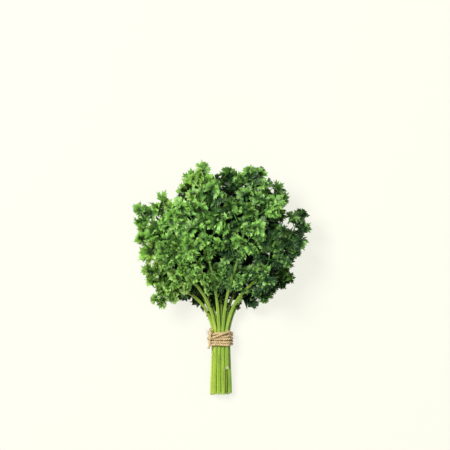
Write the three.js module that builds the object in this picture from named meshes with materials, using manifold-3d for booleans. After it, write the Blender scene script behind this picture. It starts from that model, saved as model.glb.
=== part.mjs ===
// A bunch of curly parsley, cut and tied with jute twine, lying on its side.
// Millimetres, +Z up. The stems run along Y: cut ends towards -Y, leaves towards +Y.
// Thirteen leafy stems stand in three rows in the tie and fan out into three layers of leaves.
import * as THREE from "three";
import { mergeVertices } from "three/addons/utils/BufferGeometryUtils.js";
import Module from "manifold-3d";

const wasm = await Module();
wasm.setup();

// Driving dimensions of the bunch, measured from the middle of the tie
const BUTT = 43; // to the cut ends of the stems
const HEAD_CENTRE = 70; // to the middle of the leafy head
const HEAD_RADIUS = 68; // of the leafy head, seen from above

// Stems in the tie: rows of round stems, nested as they would pack
const STEM_PITCH = 2.9; // between neighbours in a row
const ROW_PITCH = STEM_PITCH * Math.sin(Math.PI / 3);
const BASE_RADIUS = 1.55; // at the cut end
const TIE_RADIUS = 1.3; // in the tie
const LEAF_RADIUS = 1.1; // at the first leaves
const TIP_RADIUS = 0.7; // where the last leaf begins
const BUTT_FLARE = 0.16; // how much wider the cut ends stand than the tie holds them
const SHORT_STEM = 20; // one stem in the top row was cut this much shorter
const STEM_SIDES = 7;
const STEM_RINGS = 13;
const GROOVE = 0.45; // radius share in the groove along a stem's upper side

// Twine
const TWINE_RADIUS = 1.0;
const TWINE_TURNS = 5;
const TWINE_STEP = 2.3; // along the stems for each turn
const TWINE_SIDES = 6;
const CLEARANCE = 0.3;
const BAND = TWINE_TURNS * TWINE_STEP + 2 * TWINE_RADIUS;

// Each row from the one on the surface to the top one: the way each of its stems fans out in
// degrees, how far each reaches from the tie, how far each is bare, the distance between pairs of
// pinnae, the height of the row's layer of leaves and how far that layer sinks at the rim. Then the
// limits of how its pinnae grow: the angle in degrees at which the first pair and the later ones
// spread from the stem, their slope, their roll about their own line, and how far their ends droop.
// Those of the top row rise over their stems and cover them.
const ROWS = [
  {
    fan: [-35, -9, 8, 37],
    reach: [108, 130, 136, 107],
    bare: [44, 36, 36, 46],
    pairStep: 27,
    height: 6.5,
    rimDrop: 0,
    firstSpread: [70, 100],
    spread: [48, 66],
    tilt: [-0.3, 0.5],
    roll: [-0.9, 0.9],
    droop: [-5, 6],
  },
  {
    fan: [-46, -24, 1, 22, 38],
    reach: [83, 121, 131, 126, 81],
    bare: [48, 40, 36, 38, 20],
    pairStep: 22,
    height: 19,
    rimDrop: 2,
    firstSpread: [70, 100],
    spread: [48, 66],
    tilt: [-0.7, 0.55],
    roll: [-0.9, 0.9],
    droop: [-5, 6],
  },
  {
    fan: [-29, -8, 12, 34],
    reach: [120, 135, 135, 118],
    bare: [42, 35, 35, 36],
    pairStep: 21,
    height: 34,
    rimDrop: 7,
    firstSpread: [45, 75],
    spread: [18, 44],
    tilt: [0.05, 0.5],
    roll: [-0.45, 0.45],
    droop: [2, 13],
  },
];
const FAN_START = 0.35; // share of the fan angle with which a stem leaves the tie
const FAN_LENGTH = 60; // over which a stem bends to its full fan angle
const LIFT_LENGTH = 62; // over which a stem rises to its layer
const ROLL = 2.2; // of the layers above the lowest, up and down for each row

// Leaves: each stem carries pairs of pinnae and one at its tip. A pinna has two pairs of leaflets
// and one at its end, and each leaflet is a wedge with three lobes.
const PINNA_LENGTH = 37;
const BLADE = 0.95; // thickness
const RIB = 0.85; // half width of a pinna's stalk
const LOBE_ANGLE = THREE.MathUtils.degToRad(39); // from a lobe to the notch beside it
const SEED = 41;

const TIE_AXIS = ROW_PITCH + TIE_RADIUS + CLEARANCE + 2 * TWINE_RADIUS; // height of the tie's middle
const BUTT_AXIS = ROW_PITCH * (1 + BUTT_FLARE) + BASE_RADIUS * Math.cos(Math.PI / STEM_SIDES);
const BUNDLE_HALF = 2 * STEM_PITCH; // to the outer stems' middles in the widest row
const SHOULDER = 1.5 * STEM_PITCH; // and in the rows above and below it
const TWINE_OFFSET = TIE_RADIUS + CLEARANCE + TWINE_RADIUS; // from a stem's middle to the twine's
const UP = new THREE.Vector3(0, 0, 1);
const ALONG_STEMS = new THREE.Vector3(0, 1, 0);

const leafGreen = new THREE.MeshStandardMaterial({ color: 0x4a7a2c, roughness: 0.5, metalness: 0 });
const jute = new THREE.MeshStandardMaterial({ color: 0xc39f66, roughness: 0.9, metalness: 0 });

// Seeded draws between two limits, so that every build gives the same bunch.
function seededDraws(seed) {
  let state = seed >>> 0;
  return (low, high) => {
    state = (state + 0x6d2b79f5) >>> 0;
    let mixed = Math.imul(state ^ (state >>> 15), state | 1);
    mixed ^= mixed + Math.imul(mixed ^ (mixed >>> 7), mixed | 61);
    return low + ((high - low) * ((mixed ^ (mixed >>> 14)) >>> 0)) / 4294967296;
  };
}

const { lerp, smoothstep, degToRad } = THREE.MathUtils;

// Leaves a value alone up to 0.6 of its limit, and then bends it so that it never passes the limit.
function softLimit(value, limit) {
  const knee = 0.6 * limit;
  if (Math.abs(value) <= knee) return value;
  const rest = limit - knee;
  return Math.sign(value) * (knee + rest * Math.tanh((Math.abs(value) - knee) / rest));
}

// Where a row's stem stands in the tie.
const tieX = (row, place) => (place - (ROWS[row].fan.length - 1) / 2) * STEM_PITCH;
const tieZ = (row) => TIE_AXIS + (row - 1) * ROW_PITCH;

// Height of a row's layer over a point of the plan: it rises from the tie, rolls and sinks at the rim.
function layerHeight(row, x, y) {
  const { height, rimDrop } = ROWS[row];
  const fromTie = Math.hypot(x, y - BAND / 2) - BUNDLE_HALF;
  const rim = Math.hypot(x, y - HEAD_CENTRE) / HEAD_RADIUS;
  const roll = ROLL * row * Math.sin((x + 0.6 * y) / 14 + 2 * row);
  const lift = smoothstep(fromTie, 0, LIFT_LENGTH);
  return lerp(tieZ(row), height + roll - rimDrop * rim ** 4, lift);
}

// A stem's middle line: along is the distance from the tie's middle, negative towards the cut end.
function stemPoint({ row, place }, along) {
  const x = tieX(row, place);
  if (along <= BAND / 2) {
    const below = smoothstep(-along, BAND / 2, BUTT);
    const flare = 1 + BUTT_FLARE * below;
    const axis = lerp(TIE_AXIS, BUTT_AXIS, below);
    return new THREE.Vector3(x * flare, along, axis + (row - 1) * ROW_PITCH * flare);
  }
  const beyond = along - BAND / 2;
  const bend = lerp(FAN_START, 1, smoothstep(beyond, 0, FAN_LENGTH));
  const fan = degToRad(ROWS[row].fan[place]) * bend;
  const px = x + beyond * Math.sin(fan);
  const py = BAND / 2 + beyond * Math.cos(fan);
  return new THREE.Vector3(px, py, layerHeight(row, px, py));
}

function stemRadius(along, leafStart, tip) {
  if (along < 0) return lerp(TIE_RADIUS, BASE_RADIUS, -along / BUTT);
  if (along < leafStart) return lerp(TIE_RADIUS, LEAF_RADIUS, along / leafStart);
  return lerp(LEAF_RADIUS, TIP_RADIUS, (along - leafStart) / (tip - leafStart));
}

// The angle at which a stem is seen from the tie at some reach from it.
function stemAngle(row, place, reach) {
  const bend = lerp(FAN_START, 1, smoothstep(reach, 0, FAN_LENGTH));
  const fan = degToRad(ROWS[row].fan[place]) * bend;
  return Math.atan2(tieX(row, place) + reach * Math.sin(fan), reach * Math.cos(fan));
}

// The angle a stem's leaves have on one side: half the way to its neighbour, or all they want where
// the row ends.
function roomBeside({ row, place }, side, reach) {
  if (ROWS[row].fan[place + side] === undefined) return Math.PI;
  const between = stemAngle(row, place + side, reach) - stemAngle(row, place, reach);
  return Math.abs(between) / 2 - BLADE / reach;
}

// The height a row's leaves have above or below their layer: half the way to the next layer, or all
// they want over the top one.
function roomOver(row, way, x, y) {
  if (ROWS[row + way] === undefined) return 100;
  return Math.abs(layerHeight(row + way, x, y) - layerHeight(row, x, y)) / 2 - BLADE;
}

// Bends a point of a leaf into its stem's own cell, so that leaves of two stems never cross. Leaves
// of the lowest row lie flat where they meet the surface.
function intoCell(stem, point) {
  const reach = Math.hypot(point.x, point.y - BAND / 2);
  const own = stemAngle(stem.row, stem.place, reach);
  const turn = Math.atan2(point.x, point.y - BAND / 2) - own;
  const angle = own + softLimit(turn, roomBeside(stem, turn < 0 ? -1 : 1, reach));
  const x = reach * Math.sin(angle);
  const y = BAND / 2 + reach * Math.cos(angle);
  const layer = layerHeight(stem.row, x, y);
  const rise = point.z - layer;
  const z = layer + softLimit(rise, roomOver(stem.row, rise < 0 ? -1 : 1, x, y));
  return new THREE.Vector3(x, y, Math.max(z, BLADE / 2));
}

// A geometry from points and triangles.
function geometryOf(points, triangles) {
  const geometry = new THREE.BufferGeometry().setFromPoints(points);
  geometry.setIndex(triangles.flat());
  return geometry;
}

// A closed geometry as a solid that can be joined.
function solidOf(geometry) {
  const bare = new THREE.BufferGeometry().setAttribute("position", geometry.getAttribute("position"));
  bare.setIndex(geometry.index);
  const merged = mergeVertices(bare, 1e-4);
  const vertProperties = new Float32Array(merged.getAttribute("position").array);
  const triVerts = new Uint32Array(merged.index.array);
  return new wasm.Manifold(new wasm.Mesh({ numProp: 3, vertProperties, triVerts }));
}

// Whether each edge of a surface's triangles is shared by just two of them, corners in the same
// place being taken as one.
function isSound({ vertProperties, triVerts }) {
  const place = (corner) => vertProperties.slice(3 * corner, 3 * corner + 3).join(" ");
  const edges = new Set();
  for (let i = 0; i < triVerts.length; i += 3) {
    const [a, b, c] = [0, 1, 2].map((k) => place(triVerts[i + k]));
    [`${a},${b}`, `${b},${c}`, `${c},${a}`].forEach((edge) => edges.add(edge));
  }
  return edges.size === triVerts.length;
}

// Joins geometries into one body, without pockets inside or loose scraps, and leaves out as many
// slivers as it can while the surface stays sound.
function fuse(geometries) {
  const joined = geometries.map(solidOf).reduce((all, one) => all.add(one)).asOriginal();
  const meshes = [0.05, 0.04, 0.03, 0.02, 0.01].map((sliver) => {
    const bodies = joined.simplify(sliver).decompose();
    return bodies.reduce((most, one) => (one.volume() > most.volume() ? one : most)).getMesh();
  });
  const { vertProperties, triVerts } = meshes.find(isSound);
  const geometry = new THREE.BufferGeometry();
  geometry.setAttribute("position", new THREE.BufferAttribute(new Float32Array(vertProperties), 3));
  geometry.setIndex(new THREE.BufferAttribute(new Uint32Array(triVerts), 1));
  geometry.computeVertexNormals();
  return geometry;
}

// A tube through points, with a radius at each and flat ends. Its section may vary with the angle,
// which is counted from the side that faces the given direction.
function tube(points, radii, sides, facing = UP, section = () => 1) {
  const vertices = [];
  points.forEach((point, i) => {
    const ahead = points[Math.min(i + 1, points.length - 1)];
    const behind = points[Math.max(i - 1, 0)];
    const along = ahead.clone().sub(behind).normalize();
    const side = along.clone().cross(facing).normalize();
    const top = side.clone().cross(along);
    for (let k = 0; k < sides; k++) {
      const angle = (2 * Math.PI * k) / sides;
      const radius = radii[i] * section(angle);
      const spoke = top.clone().multiplyScalar(radius * Math.cos(angle));
      vertices.push(spoke.addScaledVector(side, -radius * Math.sin(angle)).add(point));
    }
  });
  const triangles = [];
  for (let i = 0; i + 1 < points.length; i++) {
    for (let k = 0; k < sides; k++) {
      const a = i * sides + k;
      const b = i * sides + ((k + 1) % sides);
      triangles.push([a, b + sides, b], [a, a + sides, b + sides]);
    }
  }
  const last = (points.length - 1) * sides;
  for (let k = 1; k + 1 < sides; k++) {
    triangles.push([0, k, k + 1], [last, last + k + 1, last + k]);
  }
  return geometryOf(vertices, triangles);
}

// A thin blade: the same triangles on both faces, half a thickness either way along one direction,
// with walls round the open edges.
function thickBlade(points, triangles, direction) {
  const count = points.length;
  const half = direction.clone().multiplyScalar(BLADE / 2);
  const faces = [
    ...points.map((p) => p.clone().add(half)),
    ...points.map((p) => p.clone().sub(half)),
  ];
  const solid = triangles.flatMap(([a, b, c]) => [[a, b, c], [a + count, c + count, b + count]]);
  const edges = new Set(triangles.flatMap(([a, b, c]) => [`${a},${b}`, `${b},${c}`, `${c},${a}`]));
  for (const edge of edges) {
    const [a, b] = edge.split(",").map(Number);
    if (edges.has(`${b},${a}`)) continue;
    solid.push([a, a + count, b + count], [a, b + count, b]);
  }
  return geometryOf(faces, solid);
}

// A leaflet in a pinna's plane: a wedge that ends in three lobes with a notch between each, the
// lobes turned up and down by turns. It starts on the base points right and left, which it shares
// with the stalk. Points hold the place along the pinna, across it, and the height above its plane.
function addLeaflet(sheet, right, left, axis, length, draw) {
  const middle = sheet.points[right].clone().add(sheet.points[left]).multiplyScalar(0.5);
  const wave = draw(0.2, 0.36) * length * (draw(0, 1) < 0.5 ? -1 : 1);
  const first = sheet.points.length;
  for (let step = -2; step <= 2; step++) {
    const isTip = step % 2 === 0;
    const radius = length * (isTip ? draw(0.42, 0.48) : draw(0.22, 0.28));
    const height = isTip ? wave * (step === 0 ? -0.6 : 1) : -0.35 * wave;
    const angle = axis + step * LOBE_ANGLE;
    const x = middle.x + 0.55 * length * Math.cos(axis) + radius * Math.cos(angle);
    const y = middle.y + 0.55 * length * Math.sin(axis) + radius * Math.sin(angle);
    sheet.points.push(new THREE.Vector3(x, y, height));
  }
  const [tipA, notchA, tipB, notchB, tipC] = [0, 1, 2, 3, 4].map((i) => first + i);
  sheet.triangles.push([right, tipA, notchA], [notchA, tipB, notchB], [notchB, tipC, left]);
  sheet.triangles.push([right, notchA, notchB], [right, notchB, left]);
}

// A pinna as a flat sheet: a stalk that carries two pairs of leaflets and one at its end.
function pinnaSheet(length, draw) {
  const sheet = { points: [], triangles: [] };
  const joints = [0.25 * length, 0.5 * length];
  for (const x of [0, ...joints.flatMap((joint) => [joint, joint + 2 * RIB])]) {
    sheet.points.push(new THREE.Vector3(x, -RIB, 0), new THREE.Vector3(x, RIB, 0));
  }
  for (let i = 0; i < 8; i += 2) {
    sheet.triangles.push([i, i + 2, i + 3], [i, i + 3, i + 1]);
  }
  addLeaflet(sheet, 8, 9, draw(-0.06, 0.06), 0.45 * length, draw);
  addLeaflet(sheet, 5, 3, degToRad(100) + draw(-0.08, 0.08), 0.41 * length, draw);
  addLeaflet(sheet, 2, 4, -degToRad(100) + draw(-0.08, 0.08), 0.41 * length, draw);
  addLeaflet(sheet, 9, 7, degToRad(67) + draw(-0.05, 0.05), 0.37 * length, draw);
  addLeaflet(sheet, 6, 8, -degToRad(67) + draw(-0.05, 0.05), 0.37 * length, draw);
  return sheet;
}

// A pinna in its place: root on the stem, axis the way it grows, rolled about that axis.
function pinna(stem, root, axis, length, roll, droop, draw) {
  const across = UP.clone().cross(axis).normalize().applyAxisAngle(axis, roll);
  const normal = axis.clone().cross(across);
  const sheet = pinnaSheet(length, draw);
  const points = sheet.points.map(({ x, y, z }) => {
    const height = z - droop * (x / length) ** 2;
    const point = root.clone().addScaledVector(axis, x).addScaledVector(across, y);
    return intoCell(stem, point.addScaledVector(normal, height));
  });
  return thickBlade(points, sheet.triangles, stem.row === 0 ? UP : normal);
}

// One leafy stem: the grooved stem with its pinnae in pairs and one pinna at the tip.
function leafyStem(stem) {
  const draw = seededDraws(SEED + stem.number);
  const { row, place } = stem;
  const leafStart = ROWS[row].bare[place];
  const tip = ROWS[row].reach[place] - 0.9 * PINNA_LENGTH;
  const isShort = row === ROWS.length - 1 && place === ROWS[row].fan.length - 1;
  const butt = -BUTT + draw(0, 2) + (isShort ? SHORT_STEM : 0);

  const stations = Array.from({ length: STEM_RINGS + 1 }, (_, i) => lerp(butt, tip, i / STEM_RINGS));
  const line = stations.map((along) => stemPoint(stem, along));
  const radii = stations.map((along) => stemRadius(along, leafStart, tip));
  const pieces = [tube(line, radii, STEM_SIDES, UP, (angle) => (angle === 0 ? GROOVE : 1))];

  const grow = (along, side, wanted, spread) => {
    const root = stemPoint(stem, along);
    const reach = along - BAND / 2 + 0.5 * wanted;
    const width = 1.25 * reach * Math.sin(Math.min(roomBeside(stem, side, reach), Math.PI / 2));
    const crowding = Math.max(1, (wanted * Math.sin(spread)) / width);
    const length = wanted / Math.sqrt(crowding);
    const turn = Math.min(spread, Math.asin(Math.min(1, width / length)));
    const ahead = stemPoint(stem, along + 1).sub(root).normalize();
    const out = ahead.clone().cross(UP).normalize().multiplyScalar(side);
    const axis = ahead.multiplyScalar(Math.cos(turn)).addScaledVector(out, Math.sin(turn));
    axis.z += draw(...ROWS[row].tilt);
    const roll = draw(...ROWS[row].roll);
    const droop = draw(...ROWS[row].droop);
    pieces.push(pinna(stem, root, axis.normalize(), length, roll, droop, draw));
  };
  const pairs = Math.max(1, Math.round((tip - leafStart) / ROWS[row].pairStep));
  for (let pair = 0; pair < pairs; pair++) {
    for (const side of [-1, 1]) {
      const along = lerp(leafStart, tip, (pair + 0.2 * side + 0.2) / pairs);
      const isOutside = place === (side < 0 ? 0 : ROWS[row].fan.length - 1);
      const spread = draw(...(pair === 0 ? ROWS[row].firstSpread : ROWS[row].spread));
      const size = PINNA_LENGTH * draw(0.85, 1.05);
      grow(along, side, isOutside ? 0.8 * size : size, degToRad(isOutside ? 0.5 * spread : spread));
    }
  }
  grow(tip - 1, 1, PINNA_LENGTH * draw(0.9, 1.05), degToRad(draw(-8, 8)));
  return fuse(pieces);
}

// The line that the twine follows round the stems for one turn, across and up: a hexagon through
// the outer stems' middles, pushed out round its corners. It starts at the upper left corner.
function twineLoop() {
  const slant = Math.atan2(STEM_PITCH / 2, ROW_PITCH); // of the hexagon's slanted sides from upright
  const corners = [
    [-SHOULDER, 1, Math.PI - slant, Math.PI / 2],
    [SHOULDER, 1, Math.PI / 2, slant],
    [BUNDLE_HALF, 0, slant, -slant],
    [SHOULDER, -1, -slant, -Math.PI / 2],
    [-SHOULDER, -1, -Math.PI / 2, -Math.PI + slant],
    [-BUNDLE_HALF, 0, Math.PI + slant, Math.PI - slant],
  ];
  return corners.flatMap(([x, level, from, to]) =>
    [0, 0.5, 1].map((share) => {
      const angle = lerp(from, to, share);
      const across = x + TWINE_OFFSET * Math.cos(angle);
      return [across, TIE_AXIS + level * ROW_PITCH + TWINE_OFFSET * Math.sin(angle)];
    }),
  );
}

// The twine: turns side by side round the stems. Its two ends rise over the turns at the upper
// left, pass through a knot and stop short beyond it.
function twine() {
  const loop = twineLoop();
  const total = TWINE_TURNS * loop.length + 1;
  const coil = Array.from({ length: total }, (_, i) => {
    const [x, z] = loop[i % loop.length];
    return new THREE.Vector3(x, TWINE_STEP * (i / loop.length - TWINE_TURNS / 2), z);
  });
  const out = new THREE.Vector3(-Math.sqrt(0.75), 0, 0.5);
  const round = new THREE.Vector3(0.5, 0, Math.sqrt(0.75));
  const knot = coil[0].clone().setY(0).addScaledVector(out, 1.9 * TWINE_RADIUS);
  const near = (outward, along, rounding) =>
    knot.clone().addScaledVector(out, outward).addScaledVector(round, rounding).setY(along);
  const end = (way) => {
    const points = [
      way < 0 ? coil[0] : coil[coil.length - 1],
      near(-0.2, 0.3 * BAND * way, 0.7 * way),
      near(0.3, 0, -0.2 * way),
      near(0, -0.36 * BAND * way, -0.8 * way),
      near(0.7, -0.58 * BAND * way, -1.5 * way),
    ];
    const line = new THREE.CatmullRomCurve3(points).getPoints(8);
    return tube(line, line.map(() => TWINE_RADIUS), TWINE_SIDES);
  };
  const ring = new THREE.TorusGeometry(1.5 * TWINE_RADIUS, 1.05 * TWINE_RADIUS, 6, 9);
  ring.rotateX(Math.PI / 2).translate(knot.x, knot.y, knot.z);
  const turns = tube(coil, coil.map(() => TWINE_RADIUS), TWINE_SIDES, ALONG_STEMS);
  return fuse([turns, end(-1), end(1), ring]);
}

const bunch = new THREE.Group();
bunch.name = "parsley_bunch";

let number = 0;
ROWS.forEach(({ fan }, row) => {
  fan.forEach((_, place) => {
    number += 1;
    const mesh = new THREE.Mesh(leafyStem({ row, place, number }), leafGreen);
    mesh.name = `leafy_stem_${String(number).padStart(2, "0")}`;
    bunch.add(mesh);
  });
});

const tie = new THREE.Mesh(twine(), jute);
tie.name = "twine_tie";
bunch.add(tie);

// The part's origin is under the middle of the whole bunch, on the surface it lies on.
const box = new THREE.Box3().setFromObject(bunch, true);
bunch.position.set(-(box.min.x + box.max.x) / 2, -(box.min.y + box.max.y) / 2, -box.min.z);

export default bunch;
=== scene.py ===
"""A bunch of curly parsley tied with jute twine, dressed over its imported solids.

Places are worked out in millimetres from the middle of the tie, as the solids were, and become
metres in the part's frame when a mesh is made. Each leafy stem gets two pieces: its green stalks,
and its curled leaves, made of small lobed and toothed fans that grow where the solid's leaflets,
their stalks and its stem are. Angles are in radians where nothing says degrees.
"""
import math
from typing import NamedTuple

import bpy
import numpy as np
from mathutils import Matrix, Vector


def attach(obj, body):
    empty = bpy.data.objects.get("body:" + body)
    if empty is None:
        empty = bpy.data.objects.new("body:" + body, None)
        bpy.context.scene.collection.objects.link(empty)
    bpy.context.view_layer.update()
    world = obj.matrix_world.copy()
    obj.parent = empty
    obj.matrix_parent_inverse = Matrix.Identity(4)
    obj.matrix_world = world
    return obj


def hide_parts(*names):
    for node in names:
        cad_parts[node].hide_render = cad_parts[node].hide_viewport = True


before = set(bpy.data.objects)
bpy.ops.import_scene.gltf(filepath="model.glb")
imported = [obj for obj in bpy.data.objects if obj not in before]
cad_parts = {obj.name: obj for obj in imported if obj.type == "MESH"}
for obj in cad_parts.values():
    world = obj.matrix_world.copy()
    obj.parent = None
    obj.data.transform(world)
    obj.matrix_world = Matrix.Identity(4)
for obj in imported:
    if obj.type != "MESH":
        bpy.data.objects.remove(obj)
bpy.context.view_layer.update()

MM = 0.001
UP = np.array([0.0, 0.0, 1.0])
NEAR_UP = UP + 0.02  # a way that no stalk or fibre runs along
ALONG_STEMS = np.array([0.0, 1.0, 0.0])
ALONG_PINNA = np.array([1.0, 0.0, 0.0])  # in a pinna's own frame
TIE_PLACE = np.array([-0.21, -46.107, 0.0])  # the middle of the tie in the part's frame

# The bunch, measured from the middle of the tie
BUTT = 43.0  # to the cut ends of the stems
HEAD_CENTRE = 70.0  # to the middle of the leafy head
HEAD_RADIUS = 68.0  # of the leafy head, seen from above
HEAD_RIM = (0.55, 0.9)  # in that radius, where the rim of the head begins and where it is whole

# Stems in the tie: rows of round stems, nested as they would pack
STEM_PITCH = 2.9  # between neighbours in a row
ROW_PITCH = STEM_PITCH * math.sin(math.pi / 3)
BASE_RADIUS = 1.55  # at the cut end
TIE_RADIUS = 1.3  # in the tie
LEAF_RADIUS = 1.1  # at the first leaves
TIP_RADIUS = 0.7  # where the last leaf begins
BUTT_FLARE = 0.16  # how much wider the cut ends stand than the tie holds them
BUTT_UNEVEN = 2.0  # the most by which a stem ends short of BUTT
SHORT_STEM = 20.0  # one stem in the top row was cut this much shorter
SOLID_SIDES = 7  # of the solids' stems

# Fine stems
STEM_SIDES = 27
STEM_RINGS = 80
RIBS = 9  # round a stem
RIB_RISE = 0.04  # in the stem's radius
GROOVE_DEPTH = 0.22  # along the upper side, in the stem's radius
GROOVE_HALF = 0.4  # the angle from the groove's middle to its side
CUT_SLANT = (0.1, 0.5)  # limits of the slope of a cut end
SHORT_SLANT = 0.8  # how much steeper the short stem was cut
SLANT_FADE = 6.0  # along a stem, over which the slant of its cut end fades out
STEM_TONE = (0.1, 0.8)  # of a row's left stem and its right one
TONE_GIVE = 0.15  # either way
STALK_SIDES = 6  # of the stalks of pinnae and leaflets

# Twine
TWINE_RADIUS = 1.0
TWINE_TURNS = 5
TWINE_STEP = 2.3  # along the stems for each turn
CLEARANCE = 0.3
BAND = TWINE_TURNS * TWINE_STEP + 2 * TWINE_RADIUS
TURNS_DRAWN = 0.92  # how far the turns are drawn together
TURNS_SPREAD = 0.1  # how much further apart they lie on the right than in the middle, on top
TURN_SLACK = 0.03  # how far a turn wanders out and in, in its own size
TURN_WANDER = 0.6  # and along the stems
WANDER_PACES = (0.7, 3.3)  # limits of its waves in a turn
ARC_POINTS = 9  # of a turn round an outer stem
STRANDS = 3
STRAND_PLACE = 0.47  # of a strand's middle from the twine's, in the twine's radius
STRAND_TURN = 5.2  # along the twine for one whole turn of its strands
TWINE_SIDES = 24
TWINE_RING = 0.36  # between rings of its mesh
KNOT_PLACE = 1.9 * TWINE_RADIUS  # outwards from the turns
KNOT_RADIUS = 1.5 * TWINE_RADIUS
KNOT_TWINE = 1.05 * TWINE_RADIUS
KNOT_POINTS = 40
CURVE_POINTS = 20  # between two points of a route
FIBRES = 90
FIBRE_SIDES = 3
FIBRE_LENGTH = (1.5, 4.5)
FIBRE_FOOT = 0.8 * TWINE_RADIUS  # from the twine's middle
FIBRE_OUT = 0.5  # outwards, for each length along the twine
FIBRE_LEAN = np.array([0.5, 1.0, 0.3])  # across, along and up, either way
FIBRE_BEND = 0.12  # either way
FIBRE_RADII = np.linspace(0.1, 0.04, 5)  # from its foot to its end

TIE_AXIS = ROW_PITCH + TIE_RADIUS + CLEARANCE + 2 * TWINE_RADIUS  # height of the tie's middle
BUTT_AXIS = ROW_PITCH * (1 + BUTT_FLARE) + BASE_RADIUS * math.cos(math.pi / SOLID_SIDES)
BUNDLE_HALF = 2 * STEM_PITCH  # to the outer stems' middles in the widest row
SHOULDER = 1.5 * STEM_PITCH  # and in the rows above and below it
TWINE_OFFSET = TIE_RADIUS + CLEARANCE + TWINE_RADIUS  # from a stem's middle to the twine's


class Row(NamedTuple):
    """One row of stems, and the limits of how its pinnae grow.

    Stems go from left to right, with their fan angles in degrees, their reach and their bare length.
    Pairs of pinnae follow each other by a step, in a layer of some height that drops at its rim. They
    spread from their stem by degrees, the first pair and the later ones, slope, roll about their own
    line, and droop at their ends.
    """

    fan: list
    reach: list
    bare: list
    pair_step: float
    height: float
    rim_drop: float
    first_spread: tuple
    spread: tuple
    tilt: tuple
    roll: tuple
    droop: tuple


ROWS = [
    Row(
        fan=[-35, -9, 8, 37],
        reach=[108, 130, 136, 107],
        bare=[44, 36, 36, 46],
        pair_step=27,
        height=6.5,
        rim_drop=0,
        first_spread=(70, 100),
        spread=(48, 66),
        tilt=(-0.3, 0.5),
        roll=(-0.9, 0.9),
        droop=(-5, 6),
    ),
    Row(
        fan=[-46, -24, 1, 22, 38],
        reach=[83, 121, 131, 126, 81],
        bare=[48, 40, 36, 38, 20],
        pair_step=22,
        height=19,
        rim_drop=2,
        first_spread=(70, 100),
        spread=(48, 66),
        tilt=(-0.7, 0.55),
        roll=(-0.9, 0.9),
        droop=(-5, 6),
    ),
    Row(
        fan=[-29, -8, 12, 34],
        reach=[120, 135, 135, 118],
        bare=[42, 35, 35, 36],
        pair_step=21,
        height=34,
        rim_drop=7,
        first_spread=(45, 75),
        spread=(18, 44),
        tilt=(0.05, 0.5),
        roll=(-0.45, 0.45),
        droop=(2, 13),
    ),
]
FAN_START = 0.35  # share of the fan angle with which a stem leaves the tie
FAN_LENGTH = 60.0  # over which a stem bends to its full fan angle
LIFT_LENGTH = 62.0  # over which a stem rises to its layer
ROLL = 2.2  # of the layers above the lowest, up and down for each row
ROLL_LENGTH = 14.0  # of that roll's wave, for each radian
ROLL_SLANT = 0.6  # of its crests

# Leaves of the solids: a pinna has two pairs of leaflets and one at its end
PINNA_LENGTH = 37.0
PINNA_SIZE = (0.85, 1.05)  # limits, in that length
TIP_PINNA = 0.9  # of that length, from the end of a stem to its reach
TIP_PINNA_SIZE = (0.9, 1.05)
TIP_PINNA_TURN = (-8, 8)  # degrees
OUTER_SIZE = 0.8  # of the pinnae on the outside of a row
OUTER_SPREAD = 0.5
STAGGER = 0.2  # of a pair's share of the stem, half the way from its left pinna to its right one
ROOM_SPREAD = 1.25  # how much wider than its stem's room a pinna may spread
BLADE = 0.95  # thickness
RIB = 0.85  # half width of a pinna's stalk
LOBE_WAVE = (0.2, 0.36)  # limits of how far a leaflet's lobes rise, in its length
LOBE_POINTS = 5  # lobes and notches of a leaflet, which the solids' draws placed
END_LEAFLET = 0.45  # its length, in its pinna's
END_GIVE = 0.06  # how far it turns aside, either way
SEED = 41  # of the solids' draws and the fine shapes'


class LeafletPair(NamedTuple):
    """Two leaflets: place and length in their pinna's length, angle in degrees, its give in radians."""

    place: float
    degrees: float
    give: float
    length: float


LEAFLET_PAIRS = [
    LeafletPair(place=0.25, degrees=100, give=0.08, length=0.41),
    LeafletPair(place=0.5, degrees=67, give=0.05, length=0.37),
]


class Stalk(NamedTuple):
    """A leaf's stalk: its radius at its foot and its end, its reach along the leaf, and its rings."""

    foot: float
    end: float
    reach: float
    rings: int


PINNA_STALK = Stalk(foot=0.6, end=0.4, reach=0.5, rings=8)
LEAFLET_STALK = Stalk(foot=0.36, end=0.2, reach=0.7, rings=5)

# A fine leaf: a fan of three toothed lobes with a notch between each
LOBE_STEPS = [0.5, 0.5, 0.5, 0.5]  # along a lobe's edge: tooth, dip, tip, dip, tooth
NOTCH_STEPS = [0.35, 0.35]  # into a notch and out of it
FAN_STEPS = np.array([0, *LOBE_STEPS, *NOTCH_STEPS, *LOBE_STEPS, *NOTCH_STEPS, *LOBE_STEPS])
FAN_SHARE = 2 * np.cumsum(FAN_STEPS) / FAN_STEPS.sum() - 1  # from -1 at one side to 1 at the other
SIDE_LOBE = [0.86, 0.74, 1.0, 0.76, 0.9]  # from the stalk to the edge, in the fan's size
MIDDLE_LOBE = [0.92, 0.8, 1.08, 0.8, 0.92]
NOTCH = 0.4
FAN_EDGE = np.array([*SIDE_LOBE, NOTCH, *MIDDLE_LOBE, NOTCH, *SIDE_LOBE[::-1]])
EDGE_GIVE = (0.88, 1.1)  # limits of how far each point of the edge is off
LOBE_FOLD = [0.3, 0.1, 1, 0.1, 0.3]  # raised along its veins
FAN_FOLD = np.array([*LOBE_FOLD, -1, *LOBE_FOLD, -1, *LOBE_FOLD])
LOBE_VEINS = 0.5 + FAN_SHARE[[2, 8]] / 2  # of the first two lobes, across the fan
FAN_RINGS = np.array([0.0, 0.55, 1.0])
FAN_FOOT = 0.06  # radius at the stalk, in the fan's size
FAN_ROLL = 0.45  # about its own line, either way
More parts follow.
